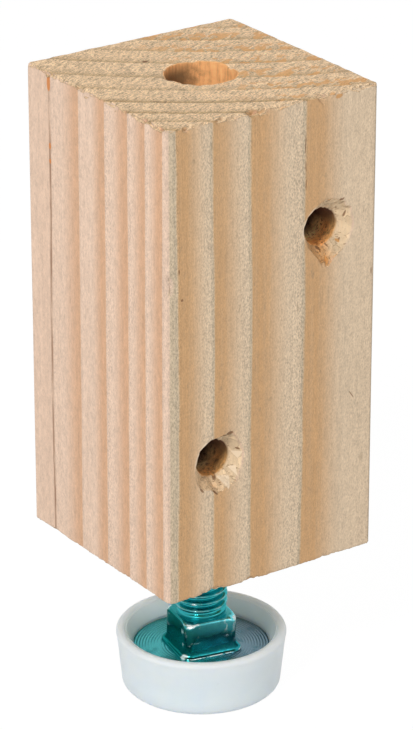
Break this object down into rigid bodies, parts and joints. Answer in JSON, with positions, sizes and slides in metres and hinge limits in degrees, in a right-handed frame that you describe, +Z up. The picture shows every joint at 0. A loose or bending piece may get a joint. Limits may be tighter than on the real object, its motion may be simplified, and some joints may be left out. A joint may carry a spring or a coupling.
{
  "type": "adjustable cabinet leg",
  "caption": "Short square pine leg, bored end to end and countersunk for side screws, that stands on a square-neck levelling bolt whose round head sits in a white plastic glide.",
  "frame": {"origin": "centre of the glide's underside, on the floor, on the bolt's axis, at the height setting shown", "axes": "+Z up along the bolt's axis; -Y out of the face that the screw holes are countersunk in; X across that face"},
  "size_m": [0.045, 0.045, 0.1215],
  "materials": {
    "pine": "bare planed pine with sawn ends",
    "nut_steel": "bright zinc plate",
    "bolt_steel": "glossy zinc plate with a blue-green tint",
    "glide_plastic": "natural white moulded plastic, slightly waxy"
  },
  "bodies": {
    "block": {"wood_block": "pine", "tee_nut": "nut_steel"},
    "glide": {"glide_cup": "glide_plastic"},
    "bolt": {"levelling_bolt": "bolt_steel"}
  },
  "joints": [
    {"name": "foot_height", "type": "slide", "parent": "block", "child": "glide", "axis": [0, 0, 1], "range_m": [-0.0135, 0.015]},
    {"name": "bolt_turn", "type": "hinge", "parent": "glide", "child": "bolt", "pos_m": [0, 0, 0.0076], "axis": [0, 0, 1], "range_deg": [-3240, 3600]}
  ],
  "couplings": [
    {"joint": "bolt_turn", "follows": "foot_height", "rad_per_m": 4188.8}
  ]
}
